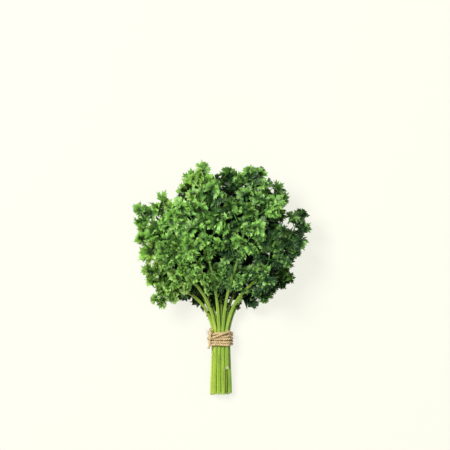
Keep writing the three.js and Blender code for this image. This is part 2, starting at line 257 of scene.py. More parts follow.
FAN_LIMITS = {  # drawn for each fan in this order
    "half angle": (0.95, 1.35),
    "bend": (0.3, 1.2),
    "cup": (-0.4, 0.6),
    "ruffle": (0.1, 0.32),
    "phase": (0, 2 * math.pi),
    "squint": (-0.25, 0.25),
    "pleat": (0.06, 0.16),
}
RUFFLES = 4.8  # the ruffle's angle from the fan's middle to its side
LEAF_THICKNESS = 0.3

# Fans along a leaflet's midrib
FANS = 8
LEAFLET_FAN_PLACE = (0.2, 0.52)  # along the leaflet, of the first and the last
LEAFLET_FAN_TURN = (1.8, 0.15)  # away from the leaflet's line, of the first and the last
LEAFLET_FAN_GIVE = 0.25  # either way
UPRIGHT_LIFT = (0.6, 1.2)  # limits
LEANING_LIFT = (-0.4, 0.2)  # limits
WAVE_LIFT = 1.4  # at the leaflet's foot, by the rise of the solid's lobes in its length
WAVE_FALL = 1.6  # of that lift to the leaflet's end
LEAFLET_FAN_SIZE = (0.32, 0.52)  # limits, in the leaflet's length

# Fans on the stalks of pinnae, with their limits
STALK_FAN_HANDS = np.array([1, -1, 1, -1])  # to the left and right by turns
STALK_FAN_PLACE = (0.1, 0.44)  # along the pinna, of the first and the last
STALK_FAN_TURN = (0.6, 1.5)
STALK_FAN_LIFT = (0.2, 0.9)
STALK_FAN_SIZE = (4.5, 6.5)

# Fans on the stems themselves, with their limits
STEM_FAN_STEP = 4.5
FANNED = [(19.0, 200.0), (28.0, 200.0), (40.0, 68.0)]  # from the tie, where each row's stems carry them
FANNED_LATER = 0.3  # for each degree of a stem's fan angle
STEM_FAN_AHEAD = 0.5  # how far it points along the stem, with how far out and up
STEM_FAN_OUT = (0.3, 0.9)
STEM_FAN_UP = (0.4, 1.0)
STEM_FAN_SIZE = (5.5, 8.0)
STEM_FAN_RIPENESS = 0.5
STEM_FAN_PAINTED_LIGHT = 0.3  # how far they follow the painted light of the other leaves, brighter on the left and darker on the right

# All fans
FAN_SCALE = [1.05, 1.1, 0.97]  # of the leaflets' fans in each row
FAN_FILL = [1.0, 0.15, 0.0]  # how much larger all a row's fans are in the middle of the head
PAINTED_LIGHT_LEFT = 1.6  # painted light: how much brighter and yellower the leaves are painted on the left than on the right
CELL_SLACK = 1.3  # how much further than the solids the fine leaves may spread in their cells
LEAST_TURN = 0.02  # that a cell leaves to a side
LEAST_RISE = 0.5  # that it leaves above or below
OPEN_RISE = 100.0  # above the top layer and below the lowest
LEAF_SEED = 100 * SEED
STALK_SEED = 200 * SEED

# Picture and stage
PIXEL = 0.75  # of the object to a pixel of the picture, at the height of its leaves
PICTURE = 450  # pixels across
PICTURE_TIE = (221, 338)  # pixels from the left and from the top to the middle of the tie
LEAF_HEIGHT = 25.0
CAMERA_HEIGHT = 1500.0
SENSOR = 36.0  # across
FLOOR_HALF = 6.0  # metres
FLOOR_GLOW = 0.82  # strength of its own light
SURROUND = 0.12  # strength of the light from all round
LIGHT_AIM = Vector((0.0, 0.02, 0.02))  # metres, in the head of the bunch


class Light(NamedTuple):
    """A soft square light: its place and size in metres, its power in watts and its tint."""

    place: tuple
    size: float
    power: float
    tint: tuple


LIGHTS = {
    "key": Light(place=(-0.9, 0.7, 1.35), size=0.7, power=46.0, tint=(1.0, 0.99, 0.95)),
    "overhead": Light(place=(0.2, -0.2, 2.0), size=1.6, power=5.0, tint=(1.0, 1.0, 0.98)),
    "front": Light(place=(0.4, -1.5, 0.45), size=1.0, power=9.0, tint=(1.0, 1.0, 0.98)),
    "right": Light(place=(1.5, 0.4, 0.6), size=1.0, power=8.0, tint=(1.0, 1.0, 0.98)),
}


class Stem(NamedTuple):
    """A stem's row, its place in that row, and its number in the bunch."""

    row: int
    place: int
    number: int


class Leaflet(NamedTuple):
    """A leaflet's base in its pinna's plane, the way it points, its length and the rise of its lobes."""

    base: tuple
    axis: float
    length: float
    wave: float


class Pinna(NamedTuple):
    """A pinna's root and frame, its length, how far it droops, and its leaflets."""

    root: np.ndarray
    axis: np.ndarray
    across: np.ndarray
    normal: np.ndarray
    length: float
    droop: float
    leaflets: list


# Layout, as in the solids

MASK = 0xFFFFFFFF  # keeps whole numbers to 32 bits


def seeded_draws(seed):
    """Draws between two limits, the same ones that placed the solids' leaves."""
    state = seed & MASK

    def draw(low, high):
        nonlocal state
        state = (state + 0x6D2B79F5) & MASK
        mixed = ((state ^ (state >> 15)) * (state | 1)) & MASK
        mixed ^= (mixed + (((mixed ^ (mixed >> 7)) * (mixed | 61)) & MASK)) & MASK
        return low + (high - low) * (((mixed ^ (mixed >> 14)) & MASK) / 2**32)

    return draw


def lerp(low, high, share):
    """From low to high by a share."""
    return low + (high - low) * share


def smooth_step(value, low, high):
    """From 0 at low to 1 at high, level at both ends: 3s^2 - 2s^3 of the share s."""
    share = np.clip((value - low) / (high - low), 0, 1)
    return share * share * (3 - 2 * share)


def unit(vectors):
    """Vectors of length one, the same way."""
    return vectors / np.maximum(np.linalg.norm(vectors, axis=-1, keepdims=True), 1e-9)


def turned(vectors, axis, angle):
    """Vectors turned about a unit axis: v cos a + (k x v) sin a + k (k.v)(1 - cos a)."""
    angle = np.asarray(angle)[..., None]
    along = (vectors * axis).sum(-1, keepdims=True)
    return (
        vectors * np.cos(angle)
        + np.cross(axis, vectors) * np.sin(angle)
        + axis * along * (1 - np.cos(angle))
    )


def run_along(points):
    """The length run along a path at each of its points."""
    return np.concatenate([[0], np.cumsum(np.linalg.norm(np.diff(points, axis=0), axis=1))])


def soft_limit(value, limit):
    """The value up to 0.6 of its limit, then a tanh that nears the limit."""
    knee = 0.6 * limit
    rest = limit - knee
    over = np.maximum(np.abs(value) - knee, 0)
    return np.sign(value) * (np.minimum(np.abs(value), knee) + rest * np.tanh(over / rest))


def last_place(row):
    """The place of a row's last stem, at the right."""
    return len(ROWS[row].fan) - 1


def is_short(stem):
    """Whether a stem is the one that was cut short: the last of the top row."""
    return stem.row == len(ROWS) - 1 and stem.place == last_place(stem.row)


def from_left(stem):
    """A stem's share of the way from its row's left stem to the right one."""
    return stem.place / last_place(stem.row)


def tie_x(row, place):
    """Where a row's stem stands across the tie."""
    return (place - last_place(row) / 2) * STEM_PITCH


def tie_z(row):
    """How high a row stands in the tie."""
    return TIE_AXIS + (row - 1) * ROW_PITCH


def layer_height(row, x, y):
    """Height of a row's layer over the plan: it rises from the tie, rolls and sinks at the rim."""
    from_tie = np.hypot(x, y - BAND / 2) - BUNDLE_HALF
    rim = np.hypot(x, y - HEAD_CENTRE) / HEAD_RADIUS
    roll = ROLL * row * np.sin((x + ROLL_SLANT * y) / ROLL_LENGTH + 2 * row)
    lift = smooth_step(from_tie, 0, LIFT_LENGTH)
    return lerp(tie_z(row), ROWS[row].height + roll - ROWS[row].rim_drop * rim**4, lift)


def stem_points(stem, along):
    """A stem's middle line at distances from the tie's middle, negative towards the cut end."""
    along = np.asarray(along, float)
    x = tie_x(stem.row, stem.place)
    below = smooth_step(-along, BAND / 2, BUTT)
    flare = 1 + BUTT_FLARE * below
    beyond = np.maximum(along - BAND / 2, 0)
    bend = lerp(FAN_START, 1, smooth_step(beyond, 0, FAN_LENGTH))
    fan = math.radians(ROWS[stem.row].fan[stem.place]) * bend
    px = x * flare + beyond * np.sin(fan)
    py = np.minimum(along, BAND / 2) + beyond * np.cos(fan)
    low = lerp(TIE_AXIS, BUTT_AXIS, below) + (stem.row - 1) * ROW_PITCH * flare
    pz = np.where(along <= BAND / 2, low, layer_height(stem.row, px, py))
    return np.stack([px, py, pz], -1)


def stem_radius(along, leaf_start, tip):
    """A stem's radius: it thins from the cut end to the tie, the first leaves and the tip."""
    stations = [-BUTT, 0, leaf_start, tip]
    return np.interp(along, stations, [BASE_RADIUS, TIE_RADIUS, LEAF_RADIUS, TIP_RADIUS])


def stem_angle(row, place, reach):
    """The angle at which a stem is seen from the tie at some reach from it."""
    bend = lerp(FAN_START, 1, smooth_step(reach, 0, FAN_LENGTH))
    fan = math.radians(ROWS[row].fan[place]) * bend
    return np.arctan2(tie_x(row, place) + reach * np.sin(fan), reach * np.cos(fan))


def room_beside(stem, side, reach):
    """The angle a stem's leaves have on one side: half the way to its neighbour, or all at the end."""
    if not 0 <= stem.place + side <= last_place(stem.row):
        return np.full(np.shape(reach), math.pi)
    between = stem_angle(stem.row, stem.place + side, reach) - stem_angle(stem.row, stem.place, reach)
    return np.abs(between) / 2 - BLADE / reach


def room_over(row, way, x, y):
    """The height a row's leaves have above or below their layer: half the way to the next one."""
    if not 0 <= row + way < len(ROWS):
        return np.full(np.shape(x), OPEN_RISE)
    return np.abs(layer_height(row + way, x, y) - layer_height(row, x, y)) / 2 - BLADE


def into_cell(stem, points):
    """Points of a leaf bent softly into their stem's own share of the head, and above the surface."""
    x, y, z = np.moveaxis(points, -1, 0)
    reach = np.maximum(np.hypot(x, y - BAND / 2), 1)
    own = stem_angle(stem.row, stem.place, reach)
    turn = np.arctan2(x, y - BAND / 2) - own
    beside = np.where(turn < 0, room_beside(stem, -1, reach), room_beside(stem, 1, reach))
    angle = own + soft_limit(turn, CELL_SLACK * np.maximum(beside, LEAST_TURN))
    x = reach * np.sin(angle)
    y = BAND / 2 + reach * np.cos(angle)
    layer = layer_height(stem.row, x, y)
    rise = z - layer
    over = np.where(rise < 0, room_over(stem.row, -1, x, y), room_over(stem.row, 1, x, y))
    z = layer + soft_limit(rise, CELL_SLACK * np.maximum(over, LEAST_RISE))
    return np.stack([x, y, np.maximum(z, LEAF_THICKNESS)], -1)


def grow_leaflet(draw, base, axis, length):
    """A leaflet from the solids' draws. Those for its lobes and notches are passed over."""
    wave = draw(*LOBE_WAVE) * length
    wave *= -1 if draw(0, 1) < 0.5 else 1
    for _ in range(LOBE_POINTS):
        draw(0, 1)
    return Leaflet(base, axis, length, wave)


def grow_leaflets(draw, length):
    """A pinna's leaflets: one at its end, then its pairs."""
    end = LEAFLET_PAIRS[-1].place * length + 2 * RIB
    leaflets = [grow_leaflet(draw, (end, 0), draw(-END_GIVE, END_GIVE), END_LEAFLET * length)]
    for pair in LEAFLET_PAIRS:
        for side in (1, -1):
            base = (pair.place * length + RIB, side * RIB)
            axis = side * math.radians(pair.degrees) + draw(-pair.give, pair.give)
            leaflets.append(grow_leaflet(draw, base, axis, pair.length * length))
    return leaflets


def grow_pinna(stem, draw, along, side, wanted, spread):
    """A pinna on a stem, shortened and turned in to fit the room it has there."""
    root = stem_points(stem, along)
    reach = along - BAND / 2 + 0.5 * wanted
    room = min(float(room_beside(stem, side, reach)), math.pi / 2)
    width = ROOM_SPREAD * reach * math.sin(room)
    crowding = max(1, wanted * math.sin(spread) / width)
    length = wanted / math.sqrt(crowding)
    turn = min(spread, math.asin(min(1, width / length)))
    ahead = unit(stem_points(stem, along + 1) - root)
    out = unit(np.cross(ahead, UP)) * side
    axis = ahead * math.cos(turn) + out * math.sin(turn)
    axis = unit(axis + UP * draw(*ROWS[stem.row].tilt))
    across = turned(unit(np.cross(UP, axis)), axis, draw(*ROWS[stem.row].roll))
    droop = draw(*ROWS[stem.row].droop)
    return Pinna(root, axis, across, np.cross(axis, across), length, droop, grow_leaflets(draw, length))


def grow_stem(stem):
    """A stem's cut end, first leaves and tip along its line, and its pinnae."""
    draw = seeded_draws(SEED + stem.number)
    row = ROWS[stem.row]
    leaf_start = row.bare[stem.place]
    tip = row.reach[stem.place] - TIP_PINNA * PINNA_LENGTH
    butt = -BUTT + draw(0, BUTT_UNEVEN) + (SHORT_STEM if is_short(stem) else 0)
    pairs = max(1, math.floor((tip - leaf_start) / row.pair_step + 0.5))
    pinnae = []
    for pair in range(pairs):
        for side in (-1, 1):
            along = lerp(leaf_start, tip, (pair + STAGGER * side + STAGGER) / pairs)
            outside = stem.place == (0 if side < 0 else last_place(stem.row))
            spread = draw(*(row.first_spread if pair == 0 else row.spread))
            size = PINNA_LENGTH * draw(*PINNA_SIZE)
            if outside:
                size *= OUTER_SIZE
                spread *= OUTER_SPREAD
            pinnae.append(grow_pinna(stem, draw, along, side, size, math.radians(spread)))
    size = PINNA_LENGTH * draw(*TIP_PINNA_SIZE)
    pinnae.append(grow_pinna(stem, draw, tip - 1, 1, size, math.radians(draw(*TIP_PINNA_TURN))))
    return butt, leaf_start, tip, pinnae


# Meshes


class Surface(NamedTuple):
    """Points, faces, values at the points by name, the points on sharp rims, and UV at the points."""

    points: np.ndarray
    faces: list
    values: dict
    rim: np.ndarray
    uv: np.ndarray


def join(surfaces):
    """Several surfaces as one."""
    starts = np.cumsum([0] + [len(s.points) for s in surfaces[:-1]])
    faces = [np.asarray(f) + start for s, start in zip(surfaces, starts) for f in s.faces]
    values = {k: np.concatenate([s.values[k] for s in surfaces]) for k in surfaces[0].values}
    rim = np.concatenate([s.rim for s in surfaces])
    uv = np.concatenate([s.uv for s in surfaces])
    return Surface(np.concatenate([s.points for s in surfaces]), faces, values, rim, uv)


def add_piece(name, surface, material, node):
    """A mesh piece from a surface, riding on the part and standing for a node."""
    mesh = bpy.data.meshes.new(name)
    points = (surface.points + TIE_PLACE) * MM
    faces = [face for block in surface.faces for face in block.tolist()]
    mesh.from_pydata(points.tolist(), [], faces)
    mesh.shade_smooth()
    ends = np.empty(2 * len(mesh.edges), np.int32)
    mesh.edges.foreach_get("vertices", ends)
    sharp = surface.rim[ends].reshape(-1, 2).all(axis=1)
    mesh.attributes.new("sharp_edge", "BOOLEAN", "EDGE").data.foreach_set("value", sharp)
    for key, value in surface.values.items():
        mesh.attributes.new(key, "FLOAT", "POINT").data.foreach_set("value", value.astype(np.float32))
    corners = np.empty(len(mesh.loops), np.int32)
    mesh.loops.foreach_get("vertex_index", corners)
    uv = surface.uv[corners].astype(np.float32).ravel()
    mesh.uv_layers.new(name="UVMap").data.foreach_set("uv", uv)
    mesh.materials.append(material)
    mesh.update()
    piece = bpy.data.objects.new(name, mesh)
    bpy.context.scene.collection.objects.link(piece)
    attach(piece, "root")
    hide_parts(node)


def ring_quads(grid):
    """The quads between the rings of a grid of points, closed round each ring."""
    onward = np.roll(grid, -1, axis=-1)
    corners = [grid[..., :-1, :], grid[..., 1:, :], onward[..., 1:, :], onward[..., :-1, :]]
    return np.stack(corners, -1).reshape(-1, 4)


def spokes(tangent, facing, angle):
    """Unit ways out from a path at angles from its facing side: top cos a - side sin a."""
    side = unit(np.cross(tangent, facing))
    top = np.cross(side, tangent)
    return top[..., None, :] * np.cos(angle)[:, None] - side[..., None, :] * np.sin(angle)[:, None]


def tubes(paths, radii, sides, profile=None, values=None, slant=0.0):
    """Tubes along paths: at each path point a ring of the radius times the profile of its angle.

    Paths are (tube, point, 3) and radii (tube, point). The angle is counted from the upper side. The
    first end is cut at a slant: its ring moves along the path by the slant times its height, and the
    move fades out over SLANT_FADE. A cap closes each end. Values are given at each path point, and
    UV holds the angle from the upper side and the length along the path.
    """
    count, length = radii.shape
    tangent = unit(np.gradient(paths, axis=1))
    angle = 2 * math.pi * np.arange(sides) / sides
    angle = np.where(angle > math.pi, angle - 2 * math.pi, angle)
    shape = np.ones(sides) if profile is None else profile(angle)
    reach = radii[:, :, None] * shape
    run = np.stack([run_along(path) for path in paths])
    shift = slant * reach * np.cos(angle) * np.clip(1 - run / SLANT_FADE, 0, 1)[:, :, None]
    spoke = spokes(tangent, NEAR_UP, angle)
    rings = paths[:, :, None] + spoke * reach[..., None] + tangent[:, :, None] * shift[..., None]
    grid = np.arange(count * length * sides).reshape(count, length, sides)
    points, faces = [rings.reshape(-1, 3)], [ring_quads(grid)]
    total = grid.size
    for at, turn in ((0, 1), (-1, -1)):
        edge = total + np.arange(count * sides).reshape(count, sides)
        middle = total + count * sides + np.arange(count)[:, None]
        cap = np.stack(np.broadcast_arrays(middle, edge, np.roll(edge, -turn, axis=1)), -1)
        points += [rings[:, at].reshape(-1, 3), rings[:, at].mean(axis=1)]
        faces.append(cap.reshape(-1, 3))
        total += count * (sides + 1)

    def at_points(value):
        ends = [np.concatenate([np.repeat(value[:, at], sides), value[:, at]]) for at in (0, -1)]
        return np.concatenate([np.repeat(value.ravel(), sides), *ends])

    given = {key: at_points(value) for key, value in (values or {}).items()}
    given["cut"] = (np.arange(total) >= grid.size).astype(float)
    uv = np.zeros((total, 2))
    uv[: grid.size, 0] = np.resize(np.abs(angle) / math.pi, grid.size)
    uv[:, 1] = at_points(run)
    return Surface(np.concatenate(points), faces, given, np.zeros(total, bool), uv)


def grid_quads(grid):
    """The quads between a grid's rows and columns, for several grids."""
    near, far = grid[:, :-1], grid[:, 1:]
    return np.stack([near[..., :-1], far[..., :-1], far[..., 1:], near[..., 1:]], -1).reshape(-1, 4)


# Leaves


def in_pinna(pinna, local):
    """Points given along a pinna, across it and above it, in their place in the bunch."""
    x, y, height = np.moveaxis(local, -1, 0)[..., None]
    height = height - pinna.droop * (x / pinna.length) ** 2
    return pinna.root + x * pinna.axis + y * pinna.across + height * pinna.normal


def along_leaflet(leaflet, run):
    """Points at lengths along a leaflet's line, in its pinna's plane."""
    x = leaflet.base[0] + run * math.cos(leaflet.axis)
    y = leaflet.base[1] + run * math.sin(leaflet.axis)
    return np.stack([x, y, np.zeros_like(x)], -1)


def pointing(turn, lift):
    """The ways that turn in a plane by one angle and lift out of it by another, and those across."""
    ahead = np.stack([np.cos(turn) * np.cos(lift), np.sin(turn) * np.cos(lift), np.sin(lift)], -1)
    return ahead, np.stack([-np.sin(turn), np.cos(turn), np.zeros(len(turn))], -1)


def fan_sheets(rng, start, ahead, level, size, curl):
    """Lobed and toothed fans as grids of points, which grow from their starts the way ahead.

    A point's angle runs across the fan, over the teeth, lobes and notches of its edge. Its radius r
    runs from the stalk to that edge and is bent along an arc, up or down by the curl. The sides rise
    as the square of their distance from the middle, the edge is ruffled by a sine of the angle times
    r squared, and pleats raise the lobes over the notches in step with r.
    """
    count, columns = len(start), len(FAN_EDGE)
    side = turned(level, ahead, rng.uniform(-FAN_ROLL, FAN_ROLL, count))
    normal = np.cross(ahead, side)
    half, bend, cup, ruffle, phase, squint, pleat = (
        rng.uniform(low, high, (count, 1, 1)) for low, high in FAN_LIMITS.values()
    )
    bend = bend * curl[:, None, None]
    edge = FAN_EDGE * rng.uniform(*EDGE_GIVE, (count, 1, columns))
    out = FAN_RINGS[None, :, None]
    radius = FAN_FOOT + (1 - FAN_FOOT) * out * (1 + (edge - 1) * out)
    angle = FAN_SHARE * half + squint * radius
    run = np.sin(bend * radius) / bend * np.cos(angle)
    across = radius * np.sin(angle)
    rise = (1 - np.cos(bend * radius)) / bend * np.cos(angle) + cup * across**2
    rise = rise + ruffle * np.sin(RUFFLES * FAN_SHARE + phase) * radius**2 + pleat * FAN_FOLD * radius
    axes = (ahead, side, normal)
    moved = sum(way[..., None] * axis[:, None, None] for way, axis in zip((run, across, rise), axes))
    return start[:, None, None] + size[:, None, None, None] * moved


def leaflet_fans(rng, leaflet, scale):
    """A leaflet's fans in its pinna's plane, a small dome of them, to the left and right by turns.

    From its foot to its end they turn from across to along. Every third one stands up, and the
    others lean out and mostly curl down. They lift as the solid's lobes do, which rise by the wave
    at the foot and sink at the end.
    """
    order = np.arange(FANS)
    share = np.linspace(0, 1, FANS)
    upright = order % 3 == 2
    hand = np.where(order % 2, 1, -1)
    give = rng.uniform(-LEAFLET_FAN_GIVE, LEAFLET_FAN_GIVE, FANS)
    turn = leaflet.axis + hand * lerp(*LEAFLET_FAN_TURN, share) + give
    lift = np.where(upright, rng.uniform(*UPRIGHT_LIFT, FANS), rng.uniform(*LEANING_LIFT, FANS))
    lift = lift + WAVE_LIFT * leaflet.wave / leaflet.length * (1 - WAVE_FALL * share)
    start = along_leaflet(leaflet, lerp(*LEAFLET_FAN_PLACE, share) * leaflet.length)
    size = scale * leaflet.length * rng.uniform(*LEAFLET_FAN_SIZE, FANS)
    curl = np.where(upright, rng.choice([-1, 1], FANS), rng.choice([-1, -1, 1], FANS))
    return fan_sheets(rng, start, *pointing(turn, lift), size, curl)


def stalk_fans(rng, pinna):
    """Fans on a pinna's own stalk, to the left and right by turns, which rise over it."""
    count = len(STALK_FAN_HANDS)
    place = pinna.length * np.linspace(*STALK_FAN_PLACE, count)
    turn = STALK_FAN_HANDS * rng.uniform(*STALK_FAN_TURN, count)
    lift = rng.uniform(*STALK_FAN_LIFT, count)
    size = rng.uniform(*STALK_FAN_SIZE, count)
    curl = rng.choice([-1, 1], count)
    return fan_sheets(rng, place[:, None] * ALONG_PINNA, *pointing(turn, lift), size, curl)


def stem_fans(rng, stem, tip):
    """Fans on the stem itself, to the left and right by turns, which rise over it."""
    first, last = FANNED[stem.row]
    first += FANNED_LATER * abs(ROWS[stem.row].fan[stem.place])
    along = np.arange(first, min(last, tip), STEM_FAN_STEP)
    count = len(along)
    root = stem_points(stem, along)
    onward = unit(stem_points(stem, along + 1) - root)
    hand = np.where(np.arange(count) % 2, 1, -1)[:, None]
    out = unit(np.cross(onward, UP)) * hand
    outward = rng.uniform(*STEM_FAN_OUT, (count, 1))
    upward = rng.uniform(*STEM_FAN_UP, (count, 1))
    ahead = unit(STEM_FAN_AHEAD * onward + outward * out + upward * UP)
    size = rng.uniform(*STEM_FAN_SIZE, count)
    curl = rng.choice([-1, 1], count)
    return fan_sheets(rng, root, ahead, unit(np.cross(UP, ahead)), size, curl)


def at_rim(points):
    """From 0 in the middle of the leafy head to 1 at its rim."""
    return smooth_step(np.hypot(points[..., 0], points[..., 1] - HEAD_CENTRE) / HEAD_RADIUS, *HEAD_RIM)


def settle(stem, fans):
    """Fans moved whole, so that their feet are in their stem's share of the head, and off the floor.

    They grow by their row's fill, less towards the rim of the head.
    """
    feet = fans[:, 0].mean(axis=1)[:, None, None]
    grown = 1 + FAN_FILL[stem.row] * (1 - at_rim(feet))
    moved = into_cell(stem, feet) + (fans - feet) * grown[..., None]
    moved[..., 2] = np.maximum(moved[..., 2], LEAF_THICKNESS)
    return moved


def thick_sheets(sheets, tones, ripeness_and_light):
    """Sheets on a grid as closed blades, which thin out to their rims.

    Within its rim a sheet is moved half a thickness either way along its normals. Both sides share
    the rim. A sheet gets painted shade by its depth under the top layer, less towards the head's rim.
    """
    down = np.gradient(sheets, axis=1)
    right = np.gradient(sheets, axis=2)
    half = LEAF_THICKNESS / 2 * unit(np.cross(down, right))
    count, rows, columns = sheets.shape[:3]
    above = np.arange(count * rows * columns).reshape(count, rows, columns)
    inner = np.zeros((count, rows, columns), bool)
    inner[:, 1:-1, 1:-1] = True
    below = above.copy()
    below[inner] = above.size + np.arange(inner.sum())
    faces = [grid_quads(above), grid_quads(below)[:, ::-1]]
    points = np.concatenate([(sheets + half * inner[..., None]).reshape(-1, 3), (sheets - half)[inner]])

    def at_points(value):
        spread = np.broadcast_to(value, inner.shape)
        return np.concatenate([spread.ravel(), spread[inner]])

    middles = sheets.mean(axis=(1, 2))
    x, y, z = middles.T
    depth = np.clip(1 - z / layer_height(len(ROWS) - 1, x, y), 0, 1)
    inner_shade = depth * (1 - at_rim(middles)) ** 2
    values = {
        "inner_shade": at_points(inner_shade[:, None, None]),
        "tone": at_points(tones[:, None, None]),
        "ripe_and_lit": at_points(ripeness_and_light[:, None, None]),
        "under": (np.arange(len(points)) >= above.size).astype(float),
    }
    across, out = np.meshgrid(0.5 + FAN_SHARE / 2, FAN_RINGS)
    uv = np.stack([at_points(across), at_points(out)], -1)
    return Surface(points, faces, values, at_points(~inner), uv)


def leaves(stem, tip, pinnae):
    """All the fans of a stem's leaves as one surface. The top row has none on its pinnae's stalks."""
    rng = np.random.default_rng(LEAF_SEED + stem.number)
    on_top = stem.row == len(ROWS) - 1
    # Painted light: pinnae on the left get higher values, and so brighter and yellower leaves, those on
    # the right lower; the rest is drawn at random.
    painted_left_light = PAINTED_LIGHT_LEFT * (0.5 - from_left(stem))
    sheets, ripeness_and_light = [], []
    for pinna in pinnae:
        fans = [leaflet_fans(rng, leaflet, FAN_SCALE[stem.row]) for leaflet in pinna.leaflets]
        if not on_top:
            fans.append(stalk_fans(rng, pinna))
        fans = np.concatenate(fans)
        sheets.append(settle(stem, in_pinna(pinna, fans)))
        ripeness_and_light.append(np.full(len(fans), np.clip(rng.uniform(0, 1) + painted_left_light, 0, 1)))
    sheets.append(settle(stem, stem_fans(rng, stem, tip)))
    ripeness_and_light.append(np.full(len(sheets[-1]), STEM_FAN_RIPENESS + STEM_FAN_PAINTED_LIGHT * painted_left_light))
    sheets = np.concatenate(sheets)
    return thick_sheets(sheets, rng.uniform(0, 1, len(sheets)), np.concatenate(ripeness_and_light))


# Stems and stalks


def stem_profile(angle):
    """A stem's section: a cosine of fine ribs all round, less a bell-shaped groove on the upper side."""
    groove = GROOVE_DEPTH * np.exp(-((angle / GROOVE_HALF) ** 2))
    return 1 + RIB_RISE * np.cos(RIBS * angle) - groove


def leaf_stalks(paths, kind, tip, tone):
    """The stalks of pinnae or of leaflets: tubes that thin from foot to end, kept off the floor."""
    paths = np.array(paths)
    radii = np.broadcast_to(np.linspace(kind.foot, kind.end, kind.rings), paths.shape[:2])
    paths[..., 2] = np.maximum(paths[..., 2], radii)
    values = {"along": np.full(radii.shape, BUTT + tip), "tone": np.full(radii.shape, tone)}
    return tubes(paths, radii, STALK_SIDES, None, values)


def stalks(stem, butt, leaf_start, tip, pinnae):
    """A stem with its cut end, the stalks of its pinnae and those of their leaflets."""
    rng = np.random.default_rng(STALK_SEED + stem.number)
    tone = lerp(*STEM_TONE, from_left(stem)) + rng.uniform(-TONE_GIVE, TONE_GIVE)
    along = np.linspace(butt, tip, STEM_RINGS)
    line = stem_points(stem, along)
    radii = stem_radius(along, leaf_start, tip)
    line[:, 2] = np.maximum(line[:, 2], radii)
    values = {"along": along[None], "tone": np.full((1, len(along)), tone)}
    slant = rng.uniform(*CUT_SLANT) + (SHORT_SLANT if is_short(stem) else 0)
    made = [tubes(line[None], radii[None], STEM_SIDES, stem_profile, values, slant)]
    pinna_paths, leaflet_paths = [], []
    for pinna in pinnae:
        run = np.linspace(0, PINNA_STALK.reach * pinna.length + RIB, PINNA_STALK.rings)
        pinna_paths.append(into_cell(stem, in_pinna(pinna, run[:, None] * ALONG_PINNA)))
        for leaflet in pinna.leaflets:
            run = np.linspace(-RIB, LEAFLET_STALK.reach * leaflet.length, LEAFLET_STALK.rings)
            leaflet_paths.append(into_cell(stem, in_pinna(pinna, along_leaflet(leaflet, run))))
    made.append(leaf_stalks(pinna_paths, PINNA_STALK, tip, tone))
    made.append(leaf_stalks(leaflet_paths, LEAFLET_STALK, tip, tone))
    return join(made)


# Twine


def twine_loop():
    """One turn of the twine, across and up: arcs round the outer stems, joined by straight runs."""
    slant = math.atan2(STEM_PITCH / 2, ROW_PITCH)
    corners = [
        (-SHOULDER, 1, math.pi - slant, math.pi / 2),
        (SHOULDER, 1, math.pi / 2, slant),
        (BUNDLE_HALF, 0, slant, -slant),
        (SHOULDER, -1, -slant, -math.pi / 2),
        (-SHOULDER, -1, -math.pi / 2, -math.pi + slant),
        (-BUNDLE_HALF, 0, math.pi + slant, math.pi - slant),
    ]
    points = []
    for x, level, start, end in corners:
        angle = np.linspace(start, end, ARC_POINTS)
        across = x + TWINE_OFFSET * np.cos(angle)
        height = TIE_AXIS + level * ROW_PITCH + TWINE_OFFSET * np.sin(angle)
        points.append(np.stack([across, height], -1))
    return np.concatenate(points)


def even_path(points, step):
    """A path through points with steps of about one length."""
    run = run_along(points)
    stations = np.linspace(0, run[-1], max(4, int(run[-1] / step)))
    return np.stack([np.interp(stations, run, points[:, k]) for k in range(3)], -1)


def smooth_path(points, step):
    """A path through a few points: a cubic between each two, with slopes from their neighbours."""
    points = np.asarray(points, float)
    slopes = np.gradient(points, axis=0)
    share = np.linspace(0, 1, CURVE_POINTS)[:, None]
    pieces = []
    for a, b, slope_a, slope_b in zip(points[:-1], points[1:], slopes[:-1], slopes[1:]):
        s2, s3 = share**2, share**3
        pieces.append(
            (2 * s3 - 3 * s2 + 1) * a + (s3 - 2 * s2 + share) * slope_a
            + (3 * s2 - 2 * s3) * b + (s3 - s2) * slope_b
        )
    return even_path(np.concatenate(pieces), step)


def rope(path, facing, radius):
    """A three-strand twine along a path: its section is three circles that turn as it runs on.

    The radius at an angle a from the nearest strand's middle is d cos a + sqrt(s^2 - d^2 sin^2 a),
    where d is the strand's distance from the middle of the twine and s its radius.
    """
    tangent = unit(np.gradient(path, axis=0))
    run = run_along(path)
    angle = 2 * math.pi * np.arange(TWINE_SIDES) / TWINE_SIDES
    twisted = angle[None] - 2 * math.pi * run[:, None] / STRAND_TURN
    sector = 2 * math.pi / STRANDS
    from_strand = (twisted + sector / 2) % sector - sector / 2
    offset, strand = STRAND_PLACE * radius, (1 - STRAND_PLACE) * radius
    reach = offset * np.cos(from_strand) + np.sqrt(strand**2 - (offset * np.sin(from_strand)) ** 2)
    rings = path[:, None] + spokes(tangent, facing, angle) * reach[..., None]
    grid = np.arange(len(path) * TWINE_SIDES).reshape(len(path), TWINE_SIDES)
    first, last = grid.size, grid.size + 1
    near = np.stack([np.full(TWINE_SIDES, first), grid[0], np.roll(grid[0], -1)], -1)
    far = np.stack([np.full(TWINE_SIDES, last), np.roll(grid[-1], -1), grid[-1]], -1)
    faces = [ring_quads(grid), near, far]
    points = np.concatenate([rings.reshape(-1, 3), path[:1], path[-1:]])
    depth = np.concatenate([(1 - reach / radius).ravel(), [0, 0]])
    uv = np.stack([from_strand / sector + 0.5, np.broadcast_to(run[:, None], twisted.shape)], -1)
    uv = np.concatenate([uv.reshape(-1, 2), np.zeros((2, 2))])
    return Surface(points, faces, {"depth": depth}, np.zeros(len(points), bool), uv)


def wobble(rng, share, reach):
    """A loose hand's wander along the turns: three sines of the share, with drawn paces and starts."""
    paces, starts = rng.uniform(*WANDER_PACES, 3), rng.uniform(0, 2 * math.pi, 3)
    return reach * np.sin(2 * math.pi * share[:, None] * paces + starts).mean(axis=1)


